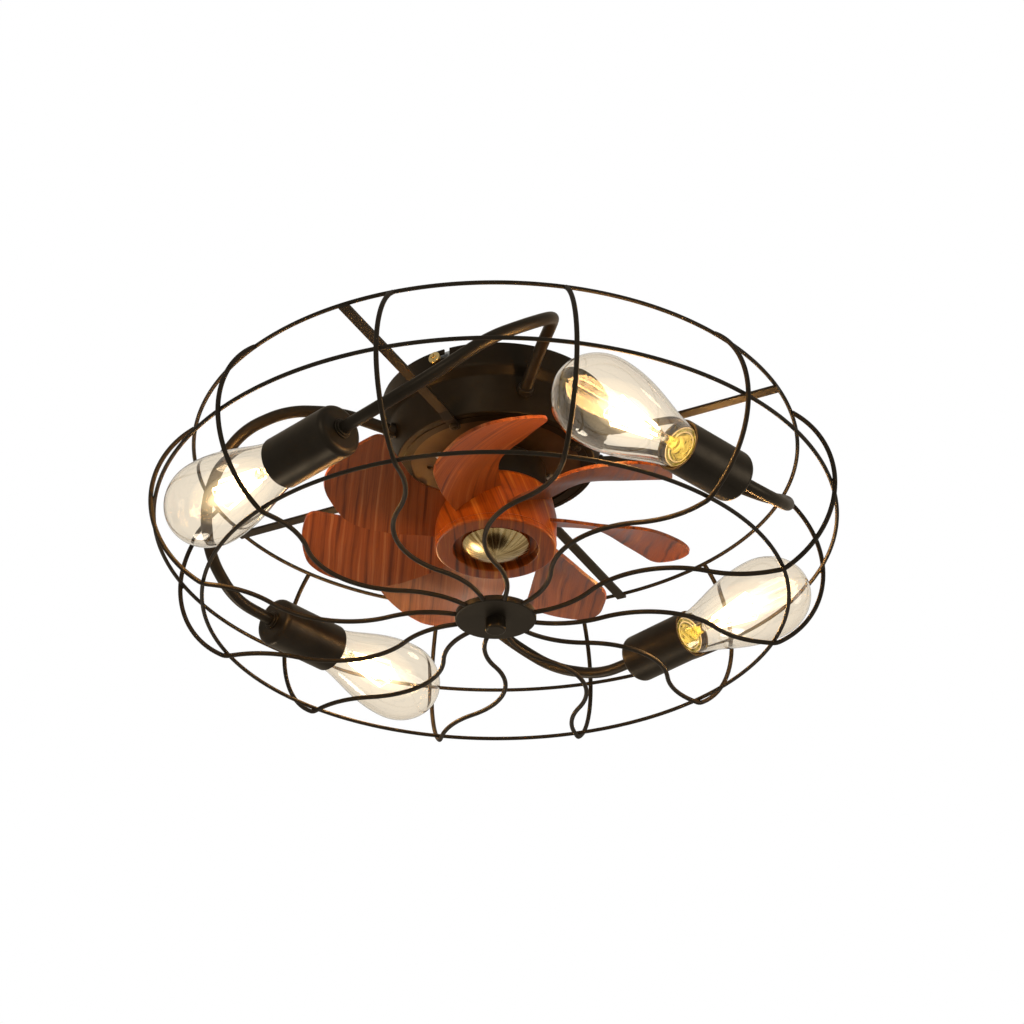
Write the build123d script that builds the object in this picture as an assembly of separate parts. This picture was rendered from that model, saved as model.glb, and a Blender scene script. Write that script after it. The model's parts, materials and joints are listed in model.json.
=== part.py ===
from build123d import *
import os
from math import atan2, cos, degrees, pi, radians, sin, sqrt, tan

# Flush-mount ceiling fan inside a round wire cage with four filament lamps.
# Frame: origin at the centre of the ceiling face, +Z up, millimetres.
# Everything hangs below Z = 0. Azimuths are degrees from +X, seen from above.

BLADE_COUNT = 7
RIB_COUNT = 12
SPOKE_COUNT = 4

# Cage: three wire rings, twelve bent ribs, a centre disc and a knob
RING_WIRE_R = 1.5
RIB_WIRE_R = 1.75
TOP_RING_R, TOP_RING_Z = 228.9, -50.0
MID_RING_R, MID_RING_Z = 254.0, -114.0
BASE_RING_R, BASE_RING_Z = 214.6, -178.25
RIB_FIRST_AZ = 12.0
RIB_ARC_R = 80.1
RIB_ARC_CENTRE = (177.2, -111.2)
RIB_ARC_TOP, RIB_ARC_END = 48.8, -59.3
RIB_KNEE_R = 12.0
BASE_SLOPE = 1.07
WAVE_OFFSET = 32.0
WAVE_PEAK_R, WAVE_HALF = 120.0, 87.0
DISC_R, DISC_TOP, DISC_THICK = 30.0, -182.3, 4.5
KNOB_R, KNOB_BOTTOM = 7.5, -196.0
WELD = 0.15

# Spokes: flat bars from under the top ring to the housing rim
SPOKE_FIRST_AZ = 62.8
SPOKE_WIDTH, SPOKE_THICK = 8.0, 2.0
SPOKE_TAB_R, SPOKE_BEND_R, SPOKE_SCREW_R = 62.0, 76.0, 68.0

# Canopy and motor housing
CANOPY_R, CANOPY_WALL_BOTTOM, CANOPY_BOTTOM = 88.0, -19.0, -30.0
HOUSING_TOP_R, HOUSING_BOTTOM_R, HOUSING_BOTTOM = 82.0, 76.0, -54.0
SHEET = 1.5
FLANGE_R = 68.0
RIM_OPENING_R = 64.6
RIM_GROOVE_R = 71.5
HOUSING_SCREW_R = 73.0
SCREW_AZ = 239.0
SLOT_ENTRY_AZ = 245.3
CANOPY_SCREW_Z = -6.0
SLOT_WIDTH = 4.4

# Mounting bracket
BRACKET_R, BRACKET_THICK = 62.0, 2.0
BRACKET_SLOT_SPACING, BRACKET_SLOT_R, BRACKET_SLOT_LENGTH = 88.9, 2.6, 16.0
WIRE_HOLE_R = 20.0

# Motor: fixed hollow shaft, outer rotor
SHAFT_R, SHAFT_BORE_R, SHAFT_END = 6.0, 3.5, -86.5
HANGER_R, HANGER_TOP, HANGER_THICK = 56.0, -47.5, 3.0
PLATE_R, PLATE_THICK = 68.0, 2.0
MOTOR_BOLT_R = 45.0
CAN_R, CAN_TOP, CAN_BOTTOM = 38.0, -56.5, -81.0
CAN_WALL = 2.5
BEARING_R, BEARING_HEIGHT = 14.0, 5.0
RUNNING_GAP = 0.05
STATOR_R, STATOR_TOP, STATOR_HEIGHT = 31.0, -65.0, 8.0
POLES = 12

# Hub and blades
HUB_TOP, HUB_BOTTOM = -81.0, -127.0
HUB_TOP_R, HUB_R, HUB_BOTTOM_R = 42.0, 46.0, 45.2
HUB_WALL = 3.0
RECESS_R, RECESS_FLOOR = 32.0, -119.5
LIP_TOP_R = 45.4
DOME_R, DOME_RIM, DOME_DEPTH, DOME_WALL = 25.7, -123.2, 9.0, 1.2
BLADE_FIRST_AZ = 270.0
BLADE_THICK = 2.4
BLADE_ROOT_R, BLADE_TIP_R = 45.0, 148.5
# The low leading edge and the high trailing edge: (radius, azimuth from the blade's own axis, Z)
LOW_EDGE = [(45, -41.5, -113.7), (80, -29.6, -119.3), (115, -22.0, -120.3), (148, -8.0, -117.0)]
HIGH_EDGE = [(45, 4.7, -97.1), (77, 1.7, -96.5), (109, 10.5, -96.7), (140, 16.0, -97.5)]
TIP_CORNER_R, TIP_POINT_R = 16.0, 4.0

# Lamps: one is built and copied; each hand-bent arm sits a degree or two off its quarter turn.
# Distances along a lamp's axis count from the back of its socket cup.
LAMP_TURNS = (0.5, 89.5, 178.0, 272.0)
LAMP_BACK = (-107.0, -170.5, -131.7)
LAMP_HEADING = 135.0
CUP_R, CUP_LENGTH, CUP_WALL = 19.0, 62.0, 1.6
CORE_R, CORE_START, CORE_END = 16.6, 9.0, 46.0
SHELL_R, SHELL_INNER_R = 14.0, 13.3
BASE_R, BASE_START, BASE_END = 13.0, 27.5, 54.0
NECK_R, NECK_END = 17.2, 60.0
BULB_R, BULB_END = 32.0, 175.5
BULB_WIDEST = BULB_END - 37.0
GLASS_WALL = 0.9
ROUND = 0.5523  # Bezier handle length for a quarter of an ellipse
STEM_R, STEM_END = 3.0, 88.0
FILAMENT_R, FILAMENT_LENGTH, FILAMENTS = 1.0, 38.0, 6

# Lamp arms: bent tube from the housing wall to the back of the socket cup
ARM_R, ARM_BORE_R, WIRE_R = 4.5, 3.4, 2.6
ARM_ROUTE = [
    (19.0, -72.0, -38.0),
    (31.0, -119.0, -27.5),
    (38.5, -158.0, -32.0),
    (38.0, -189.0, -49.5),
    (22.5, -207.5, -68.0),
    (-7.0, -219.0, -89.0),
    (-40.0, -216.0, -114.0),
    (-78.0, -198.5, -130.0),
]
COLLAR_R, COLLAR_LENGTH = 5.9, 5.0

os.makedirs("parts", exist_ok=True)


def polar(radius, azimuth, z=0.0):
    """A point at a radius, an azimuth in degrees and a height."""
    return Vector(radius * cos(radians(azimuth)), radius * sin(radians(azimuth)), z)


def around(shape, count, first=0.0):
    """Copies of a shape, evenly turned about Z."""
    return [shape.rotate(Axis.Z, first + 360.0 * k / count) for k in range(count)]


def disc(radius, z_top, thickness, bore=0.0):
    """A flat round plate with an optional round hole."""
    plate = Cylinder(radius, thickness, align=(Align.CENTER, Align.CENTER, Align.MAX))
    if bore:
        plate -= Cylinder(bore, 3 * thickness)
    return plate.moved(Location((0, 0, z_top)))


def turned(points):
    """A solid of revolution about Z from (radius, z) points."""
    outline = make_face(Polyline([(r, 0, z) for r, z in points], close=True))
    return revolve(outline, Axis.Z)


def drill(shape, circle_r, z, hole_r, count, first):
    """Round holes through a flat plate, evenly spaced on a circle."""
    hole = Cylinder(hole_r, 12).moved(Location((circle_r, 0, z)))
    for cut in around(hole, count, first):
        shape -= cut
    return shape


def rims(shape, radius, z):
    """Circular edges of a turned shape with a radius and a height."""
    circles = shape.edges().filter_by(GeomType.CIRCLE)
    return [e for e in circles if abs(e.radius - radius) < 0.01 and abs(e.center().Z - z) < 0.01]


def tube(path, radius, bore=0.0):
    """A round rod, or a tube with a bore, along a path."""
    plane = Plane(origin=path @ 0, z_dir=path % 0)
    rod = sweep(plane * Circle(radius), path=path)
    if bore:
        rod -= sweep(plane * Circle(bore), path=path)
    return rod


def screw(head_r, head_height, shank_r, shank_length):
    """A pan-head cross-recess screw: head along +Z from 0, shank along -Z."""
    head = Cylinder(head_r, head_height, align=(Align.CENTER, Align.CENTER, Align.MIN))
    head = fillet(head.faces().sort_by(Axis.Z)[-1].edges(), head_height * 0.45)
    shank = Cylinder(shank_r, shank_length, align=(Align.CENTER, Align.CENTER, Align.MAX))
    recess = Box(head_r, head_r * 0.22, head_height * 0.6) + Box(head_r * 0.22, head_r, head_height * 0.6)
    return head + shank - recess.moved(Location((0, 0, head_height)))


def save(name, *shapes):
    """Write one node; several shapes become separate solids of a compound."""
    solids = [solid for shape in shapes for solid in shape.solids()]
    body = solids[0] if len(solids) == 1 else Compound(children=solids)
    export_step(body, f"parts/{name}.step")


# ---------------------------------------------------------------- ceiling side


def mounting_bracket():
    """Round strap plate with two slots for a ceiling box and two ears for the canopy screws."""
    ear_r = CANOPY_R - SHEET - 2.5
    plate = disc(BRACKET_R, 0, BRACKET_THICK, WIRE_HOLE_R)
    arm = Box(2 * ear_r, 22, BRACKET_THICK).moved(Location((0, 0, -BRACKET_THICK / 2)))
    plate += arm.rotate(Axis.Z, SCREW_AZ)
    ear = Box(BRACKET_THICK, 22, 13).moved(Location((ear_r - BRACKET_THICK / 2, 0, -6.5)))
    ear -= Cylinder(1.9, 10).rotate(Axis.Y, 90).moved(Location((ear_r, 0, CANOPY_SCREW_Z)))
    for shape in around(ear, 2, SCREW_AZ):
        plate += shape
    plate -= disc(WIRE_HOLE_R, 1, 4)
    slot = extrude(SlotOverall(BRACKET_SLOT_LENGTH, 2 * BRACKET_SLOT_R), 4, both=True)
    for side in (-1, 1):
        plate -= slot.moved(Location((side * BRACKET_SLOT_SPACING / 2, 0, 0)))
    return plate


def canopy():
    """Ceiling pan: straight wall, rounded shoulder, inward flange and two bayonet slots."""
    inner_r, step = CANOPY_R - SHEET, (HOUSING_TOP_R + 1, -25.5)
    pan = turned([
        (CANOPY_R, 0),
        (CANOPY_R, CANOPY_WALL_BOTTOM),
        step,
        (HOUSING_TOP_R, CANOPY_BOTTOM),
        (FLANGE_R, CANOPY_BOTTOM),
        (FLANGE_R, CANOPY_BOTTOM + SHEET),
        (HOUSING_TOP_R - SHEET, CANOPY_BOTTOM + SHEET),
        (HOUSING_TOP_R - 0.8, -26.5),
        (inner_r, CANOPY_WALL_BOTTOM - 0.6),
        (inner_r, 0),
    ])
    pan = fillet(rims(pan, CANOPY_R, CANOPY_WALL_BOTTOM), 5)
    pan = fillet(rims(pan, *step), 3.5)
    leg = (SLOT_ENTRY_AZ - SCREW_AZ) * pi / 180 * CANOPY_R
    depth = SLOT_WIDTH / 2 - CANOPY_SCREW_Z
    entry = Box(12, SLOT_WIDTH, depth, align=(Align.CENTER, Align.CENTER, Align.MAX))
    entry = entry.moved(Location((CANOPY_R, 0, 0))).rotate(Axis.Z, SLOT_ENTRY_AZ)
    across = Box(12, leg + SLOT_WIDTH / 2, SLOT_WIDTH, align=(Align.CENTER, Align.MIN, Align.CENTER))
    across = across.moved(Location((CANOPY_R, -0.2, CANOPY_SCREW_Z))).rotate(Axis.Z, SCREW_AZ)
    end = Cylinder(SLOT_WIDTH / 2, 12).rotate(Axis.Y, 90)
    end = end.moved(Location((CANOPY_R, 0, CANOPY_SCREW_Z))).rotate(Axis.Z, SCREW_AZ)
    for cut in (entry, across, end):
        for turn in (0, 180):
            pan -= cut.rotate(Axis.Z, turn)
    return drill(pan, HOUSING_SCREW_R, CANOPY_BOTTOM, 2.1, 4, 30)


def canopy_screws():
    """Two brass screws through the bayonet slots into the bracket ears."""
    body = screw(4.8, 2.4, 1.8, 5.4).rotate(Axis.Y, 90)
    return around(body.moved(Location((CANOPY_R + 0.02, 0, CANOPY_SCREW_Z))), 2, SCREW_AZ)


def motor_housing():
    """Drum below the canopy: tapered wall, top flange and grooved bottom rim, open for the arms."""
    top, bottom = CANOPY_BOTTOM, HOUSING_BOTTOM
    drum = turned([
        (FLANGE_R, top),
        (HOUSING_TOP_R, top),
        (HOUSING_BOTTOM_R, bottom),
        (RIM_OPENING_R, bottom),
        (RIM_OPENING_R, bottom + SHEET),
        (HOUSING_BOTTOM_R - SHEET, bottom + SHEET),
        (HOUSING_TOP_R - SHEET, top - SHEET),
        (FLANGE_R, top - SHEET),
    ])
    drum = fillet(rims(drum, HOUSING_BOTTOM_R, bottom), 1.4)
    groove = disc(RIM_GROOVE_R + 0.6, bottom + 0.5, 2, RIM_GROOVE_R - 0.6)
    drum -= groove
    entry = tube(arm_path().edges()[0], ARM_R + 0.1)
    for cut in at_lamps(entry):
        drum -= cut
    drum = drill(drum, HOUSING_SCREW_R, top, 1.6, 4, 30)
    return drill(drum, SPOKE_SCREW_R, bottom, 2.0, SPOKE_COUNT, SPOKE_FIRST_AZ)


def housing_plate():
    """Recessed bottom plate that carries the motor hanger."""
    plate = disc(PLATE_R, HOUSING_BOTTOM + SHEET + PLATE_THICK, PLATE_THICK, SHAFT_R + 4)
    plate = drill(plate, MOTOR_BOLT_R, HOUSING_BOTTOM, 2.1, 4, 20)
    plate = drill(plate, SPOKE_SCREW_R - 0.5, HOUSING_BOTTOM, 2.4, SPOKE_COUNT, SPOKE_FIRST_AZ)
    return drill(plate, 50.0, HOUSING_BOTTOM, 2.6, 1, 177)


def motor_hanger():
    """Round hanger plate with the fixed hollow shaft of the motor."""
    plate = disc(HANGER_R, HANGER_TOP, HANGER_THICK)
    length = HANGER_TOP - SHAFT_END
    plate += disc(SHAFT_R + 3, HANGER_TOP - HANGER_THICK, 4)
    plate += disc(SHAFT_R, HANGER_TOP, length)
    plate -= disc(SHAFT_BORE_R, HANGER_TOP + 1, length + 2)
    return drill(plate, MOTOR_BOLT_R, HANGER_TOP, 1.7, 4, 20)


# ---------------------------------------------------------------- motor


def bearing(z_top):
    """A plain ring that runs on the shaft."""
    return disc(BEARING_R, z_top, BEARING_HEIGHT, SHAFT_R + RUNNING_GAP)


def rotor_can():
    """Cup of the outer rotor: side wall, bottom plate and lower bearing seat."""
    can = turned([
        (BEARING_R, CAN_BOTTOM),
        (CAN_R, CAN_BOTTOM),
        (CAN_R, CAN_TOP - CAN_WALL),
        (CAN_R - CAN_WALL, CAN_TOP - CAN_WALL),
        (CAN_R - CAN_WALL, CAN_BOTTOM + CAN_WALL),
        (BEARING_R + 2, CAN_BOTTOM + CAN_WALL),
        (BEARING_R + 2, CAN_BOTTOM + BEARING_HEIGHT),
        (BEARING_R, CAN_BOTTOM + BEARING_HEIGHT),
    ])
    return drill(can, 28.0, CAN_BOTTOM, 1.6, 4, 45)


def rotor_cover():
    """Top plate of the rotor with the upper bearing seat."""
    cover = turned([
        (BEARING_R, CAN_TOP),
        (CAN_R - 1.5, CAN_TOP),
        (CAN_R, CAN_TOP - 1.5),
        (CAN_R, CAN_TOP - CAN_WALL),
        (BEARING_R + 2, CAN_TOP - CAN_WALL),
        (BEARING_R + 2, CAN_TOP - BEARING_HEIGHT),
        (BEARING_R, CAN_TOP - BEARING_HEIGHT),
    ])
    return cover


def rotor_magnets():
    """Curved magnets on the inside of the rotor can."""
    outer = CAN_R - CAN_WALL
    ring = disc(outer, STATOR_TOP + 1, STATOR_HEIGHT + 2, STATOR_R + 1)
    wedge = Box(60, 11, 40, align=(Align.MIN, Align.CENTER, Align.CENTER)).moved(Location((0, 0, STATOR_TOP)))
    return [ring & cut for cut in around(wedge, 14)]


def stator_core():
    """Toothed iron core pressed on the shaft."""
    core = disc(15.0, STATOR_TOP, STATOR_HEIGHT, SHAFT_R)
    tooth = Box(STATOR_R - 13, 4, STATOR_HEIGHT, align=(Align.MIN, Align.CENTER, Align.MAX))
    tooth = tooth.moved(Location((13.5, 0, STATOR_TOP)))
    shoe = disc(STATOR_R, STATOR_TOP, STATOR_HEIGHT, STATOR_R - 2.5)
    sector = Box(40, 12.4, 40, align=(Align.MIN, Align.CENTER, Align.CENTER))
    sector = sector.moved(Location((0, 0, STATOR_TOP)))
    for part in around(tooth + (shoe & sector), POLES):
        core += part
    return core & disc(STATOR_R, STATOR_TOP, STATOR_HEIGHT, SHAFT_R)


def stator_windings():
    """One copper coil round each tooth."""
    height = STATOR_HEIGHT + 5
    coil = Box(9.5, 6.2, height)
    coil = fillet(coil.edges().filter_by(Axis.X), 1.5)
    coil -= Box(12, 4.1, STATOR_HEIGHT + 0.1)
    return around(coil.moved(Location((22.9, 0, STATOR_TOP - STATOR_HEIGHT / 2))), POLES)


def hex_nut(flats, height, bore, z_top):
    """A hexagonal nut about Z."""
    nut = extrude(RegularPolygon(flats / sqrt(3), 6), height) - Cylinder(bore, 4 * height)
    return nut.moved(Location((0, 0, z_top - height)))


# ---------------------------------------------------------------- hub and blades


def fan_hub():
    """Hollow barrel that carries the blades, open to the motor at the top and floored near its foot."""
    barrel = turned([
        (20, HUB_TOP),
        (HUB_TOP_R, HUB_TOP),
        (HUB_R, HUB_TOP - 20),
        (LIP_TOP_R, RECESS_FLOOR),
        (6, RECESS_FLOOR),
        (6, RECESS_FLOOR + HUB_WALL),
        (HUB_R - HUB_WALL - 1, RECESS_FLOOR + HUB_WALL),
        (HUB_R - HUB_WALL, HUB_TOP - 20),
        (HUB_TOP_R - HUB_WALL - 1, HUB_TOP - HUB_WALL),
        (20, HUB_TOP - HUB_WALL),
    ])
    barrel = fillet(rims(barrel, HUB_TOP_R, HUB_TOP), 6)
    return drill(barrel, 28.0, HUB_TOP, 1.8, 4, 45)


def hub_lip():
    """Rolled lower ring of the hub, round the recess."""
    ring = turned([
        (RECESS_R, RECESS_FLOOR),
        (LIP_TOP_R, RECESS_FLOOR),
        (HUB_BOTTOM_R, HUB_BOTTOM),
        (RECESS_R, HUB_BOTTOM),
    ])
    ring = fillet(rims(ring, HUB_BOTTOM_R, HUB_BOTTOM), 4)
    return fillet(rims(ring, RECESS_R, HUB_BOTTOM), 1.2)


def hub_dome():
    """Plated cap on a short skirt in the hub's recess, bulging down past the lip."""
    ball_r = (DOME_R**2 + DOME_DEPTH**2) / (2 * DOME_DEPTH)
    centre = Location((0, 0, DOME_RIM - DOME_DEPTH + ball_r))
    cap = (Sphere(ball_r) - Sphere(ball_r - DOME_WALL)).moved(centre) & disc(40, DOME_RIM, 30)
    skirt = disc(DOME_R, RECESS_FLOOR, RECESS_FLOOR - DOME_RIM) - Cylinder(DOME_R - DOME_WALL, 400)
    return skirt + cap


def edge_curve(points):
    """Plan curve through (radius, azimuth, z) points."""
    return Spline([polar(r, az) for r, az, _ in points])


def blend(points, radius):
    """Azimuth and Z on a blade edge at a radius, with straight ends beyond it."""
    for (r0, a0, z0), (r1, a1, z1) in zip(points, points[1:]):
        if radius <= r1 or r1 == points[-1][0]:
            part = (radius - r0) / (r1 - r0)
            return a0 + (a1 - a0) * part, z0 + (z1 - z0) * part


def blade():
    """One swept blade: its plan outline cut from a twisted sheet between the low and high edges."""
    tip_mid = polar(BLADE_TIP_R, 4.0)
    root_mid = polar(BLADE_ROOT_R - WELD, (LOW_EDGE[0][1] + HIGH_EDGE[0][1]) / 2)
    low, high = edge_curve(LOW_EDGE), edge_curve(HIGH_EDGE)
    tip = ThreePointArc(low @ 1, tip_mid, high @ 1)
    root = ThreePointArc(low @ 0, root_mid, high @ 0)
    outline = make_face(low + tip + high + root)
    outline = fillet(outline.vertices().sort_by_distance(low @ 1)[0], TIP_CORNER_R)
    outline = fillet(outline.vertices().sort_by_distance(high @ 1)[0], TIP_POINT_R)
    blank = extrude(outline.moved(Location((0, 0, -150))), 90)

    rows = []
    for step in range(8):
        radius = 42.0 + step * (152.0 - 42.0) / 7
        low_az, low_z = blend(LOW_EDGE, radius)
        high_az, high_z = blend(HIGH_EDGE, radius)
        row = []
        for across in (-0.15, 0.2, 0.5, 0.8, 1.15):
            row.append(polar(radius, low_az + (high_az - low_az) * across, low_z + (high_z - low_z) * across))
        rows.append(row)
    sheet = Face.make_surface_from_array_of_points(rows, min_deg=2, max_deg=4, tol=0.3)
    thick = Solid.extrude(sheet, Vector(0, 0, BLADE_THICK)).moved(Location((0, 0, -BLADE_THICK / 2)))
    return thick & blank


# ---------------------------------------------------------------- lamps


def lamp_heading():
    """Unit vector from the back of the first socket cup to the tip of its bulb."""
    return polar(1.0, LAMP_HEADING)


def on_lamp_axis(shape):
    """Place a shape that was built along +Z from the back of the cup."""
    return Plane(origin=LAMP_BACK, z_dir=lamp_heading()).location * shape


def arm_path():
    """Bent tube centreline: straight runs joined by the largest tangent arcs."""
    points = [Vector(*p) for p in ARM_ROUTE] + [Vector(*LAMP_BACK) + lamp_heading() * 2]
    radii = []
    for before, here, after in zip(points, points[1:], points[2:]):
        turn = radians((here - before).get_angle(after - here))
        shorter = min((here - before).length, (after - here).length)
        radii.append(0.45 * shorter / tan(turn / 2))
    return FilletPolyline(*points, radius=radii)


def at_lamps(shape):
    """Copies of a shape at the four lamps."""
    return [shape.rotate(Axis.Z, turn) for turn in LAMP_TURNS]


def arm_collar():
    """Grommet ring where an arm enters the housing wall."""
    start, after = Vector(*ARM_ROUTE[0]), Vector(*ARM_ROUTE[1])
    along = (after - start).normalized()
    ring = Cylinder(COLLAR_R, COLLAR_LENGTH) - Cylinder(ARM_R + 0.05, 2 * COLLAR_LENGTH)
    ring = fillet(rims(ring, COLLAR_R, COLLAR_LENGTH / 2), 1.0)
    seat = start + along * 8.2
    return Plane(origin=seat, z_dir=along).location * ring - drum_core()


def drum_core():
    """The solid envelope of the housing drum."""
    return turned([
        (0, CANOPY_BOTTOM),
        (HOUSING_TOP_R, CANOPY_BOTTOM),
        (HOUSING_BOTTOM_R, HOUSING_BOTTOM),
        (0, HOUSING_BOTTOM),
    ])


def socket_cup():
    """Deep round cup that hides the lamp socket."""
    cup = Cylinder(CUP_R, CUP_LENGTH, align=(Align.CENTER, Align.CENTER, Align.MIN))
    cup = fillet(cup.edges().sort_by(Axis.Z)[0], 5)
    bore = Cylinder(CUP_R - CUP_WALL, CUP_LENGTH, align=(Align.CENTER, Align.CENTER, Align.MIN))
    bore = fillet(bore.edges().sort_by(Axis.Z)[0], 3.5).moved(Location((0, 0, CUP_WALL + 0.4)))
    cup -= bore
    return cup - Cylinder(ARM_R + 0.05, 20)


def socket_nut():
    """Lock nut that clamps the arm's end inside the cup."""
    nut = hex_nut(15.0, 4.0, ARM_R + 0.05, 0)
    return nut.moved(Location((0, 0, CUP_WALL + 0.4 + 4.0)))


def socket_core():
    """Insulating socket body, closed at the back."""
    core = Cylinder(CORE_R, CORE_END - CORE_START, align=(Align.CENTER, Align.CENTER, Align.MIN))
    core -= Cylinder(SHELL_R, 100, align=(Align.CENTER, Align.CENTER, Align.MIN)).moved(Location((0, 0, 6)))
    return core.moved(Location((0, 0, CORE_START)))


def screw_shell():
    """Thin brass sleeve that the lamp base screws into."""
    sleeve = Cylinder(SHELL_R, 26, align=(Align.CENTER, Align.CENTER, Align.MIN))
    sleeve -= Cylinder(SHELL_INNER_R, 80)
    return sleeve.moved(Location((0, 0, CORE_END - 27)))


def bulb_base():
    """Brass lamp base with rounded thread turns, a glass insulator and a centre contact."""
    pitch = 3.6
    crest, root = BASE_R, BASE_R - 0.7
    points = [(0, BASE_START - 3), (4, BASE_START - 3), (5, BASE_START - 1.5), (10.5, BASE_START + 1)]
    for turn in range(5):
        z = BASE_START + 3 + turn * pitch
        points += [(root, z), (crest, z + pitch * 0.35), (crest, z + pitch * 0.55)]
    points += [(root, BASE_END - 5), (root, BASE_END), (0, BASE_END)]
    return turned(points)


def bulb_glass():
    """Hollow teardrop bulb that widens from the neck to a round nose."""
    thick = GLASS_WALL
    nose = BULB_END - BULB_WIDEST

    def half(shrink):
        run = BULB_WIDEST - NECK_END
        neck = Line((BASE_R - shrink, BASE_END), (NECK_R - shrink, NECK_END))
        side = Bezier(
            (NECK_R - shrink, NECK_END),
            (NECK_R + 1.5 - shrink, NECK_END + run * 0.3),
            (BULB_R - shrink, BULB_WIDEST - run * 0.42),
            (BULB_R - shrink, BULB_WIDEST),
        )
        wide, deep = BULB_R - shrink, nose - shrink
        cap = Bezier(
            (wide, BULB_WIDEST),
            (wide, BULB_WIDEST + ROUND * deep),
            (ROUND * wide, BULB_WIDEST + deep),
            (0, BULB_WIDEST + deep),
        )
        return neck, side, cap

    outer, inner = half(0), half(thick)
    top = Line(outer[2] @ 1, inner[2] @ 1)
    foot = Line(outer[0] @ 0, inner[0] @ 0)
    outline = make_face(Curve() + list(outer) + [top] + list(inner) + [foot])
    return revolve(Plane.XZ * outline, Axis.Z)


def bulb_stem():
    """Glass mount with a flared foot that carries the filaments."""
    return turned([
        (0, BASE_END),
        (11, BASE_END),
        (8, BASE_END + 5),
        (STEM_R, BASE_END + 14),
        (STEM_R, STEM_END),
        (1.2, STEM_END + 3),
        (1.2, STEM_END + 42),
        (0, STEM_END + 42),
    ])


def filaments():
    """Straight glowing rods that lean out round the stem."""
    rod = Cylinder(FILAMENT_R, FILAMENT_LENGTH, align=(Align.CENTER, Align.CENTER, Align.MIN))
    rod = rod.rotate(Axis.Y, 9).moved(Location((4.6, 0, STEM_END - 2)))
    return around(rod, FILAMENTS)


# ---------------------------------------------------------------- cage


def rib():
    """One cage wire: a big side arc, a knee under the base ring and a wave to the centre disc."""
    centre_r, centre_z = RIB_ARC_CENTRE
    side = CenterArc((centre_r, centre_z), RIB_ARC_R, RIB_ARC_TOP, RIB_ARC_END - RIB_ARC_TOP)
    knee = JernArc(side @ 1, side % 1, RIB_KNEE_R, -(90 + RIB_ARC_END - BASE_SLOPE))
    upright = Plane(origin=(0, 0, 0), x_dir=(1, 0, 0), z_dir=(0, -1, 0))
    upper = upright * (Curve() + [side, knee])
    corner = upright.from_local_coords(knee @ 1)
    inward = upright.from_local_coords(knee @ 1 + knee % 1) - corner
    base = Plane(origin=corner, x_dir=inward, z_dir=Vector(-inward.Z, 0, inward.X) * -1)
    bend = 2 * degrees(atan2(WAVE_OFFSET, WAVE_HALF))
    bend_r = WAVE_HALF / (2 * sin(radians(bend)))
    lead_in = corner.X - (WAVE_PEAK_R + WAVE_HALF)
    start = Line((0, 0), (lead_in, 0))
    first = JernArc(start @ 1, start % 1, bend_r, bend)
    crest = JernArc(first @ 1, first % 1, bend_r, -2 * bend)
    last = JernArc(crest @ 1, crest % 1, bend_r, bend)
    end = Line(last @ 1, (corner.X - DISC_R + WELD, 0))
    lower = base * (Curve() + [start, first, crest, last, end])
    path = Wire(list(upper.edges()) + list(lower.edges()))
    return tube(path, RIB_WIRE_R)


def ring(radius, z):
    """A round wire ring."""
    return Torus(radius, RING_WIRE_R).moved(Location((0, 0, z)))


def centre_disc():
    """Round plate that the ribs are welded to."""
    plate = disc(DISC_R, DISC_TOP, DISC_THICK, 2.6)
    return fillet(rims(plate, DISC_R, DISC_TOP - DISC_THICK), 1.2)


def knob():
    """Turned finial with a threaded stud through the disc."""
    under = DISC_TOP - DISC_THICK
    body = Cylinder(KNOB_R, under - KNOB_BOTTOM, align=(Align.CENTER, Align.CENTER, Align.MAX))
    body = fillet(body.edges().sort_by(Axis.Z)[0], 1.5)
    stud = Cylinder(2.5, DISC_THICK + 3, align=(Align.CENTER, Align.CENTER, Align.MIN))
    return (body + stud).moved(Location((0, 0, under)))


def spoke():
    """Flat bar: level tab under the housing rim, then a slight rise to the top ring."""
    ring_under = TOP_RING_Z - RING_WIRE_R
    rim = HOUSING_BOTTOM
    side = [
        (SPOKE_TAB_R, rim),
        (SPOKE_BEND_R, rim),
        (SPOKE_BEND_R + 8, ring_under),
        (TOP_RING_R + 1.5, ring_under),
        (TOP_RING_R + 1.5, ring_under - SPOKE_THICK),
        (SPOKE_BEND_R + 8.6, ring_under - SPOKE_THICK),
        (SPOKE_BEND_R + 0.6, rim - SPOKE_THICK),
        (SPOKE_TAB_R, rim - SPOKE_THICK),
    ]
    outline = make_face(Polyline([(r, 0, z) for r, z in side], close=True))
    bar = extrude(outline, SPOKE_WIDTH / 2, both=True)
    bar = fillet(bar.edges().filter_by(Axis.Z).sort_by(Axis.X)[:2], 3.5)
    return bar - Cylinder(2.1, 20).moved(Location((SPOKE_SCREW_R, 0, rim)))


# ---------------------------------------------------------------- write every node

save("mounting_bracket", mounting_bracket())
save("canopy", canopy())
save("canopy_screws", *canopy_screws())
save("motor_housing", motor_housing())
save("housing_plate", housing_plate())
save("motor_hanger", motor_hanger())

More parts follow.
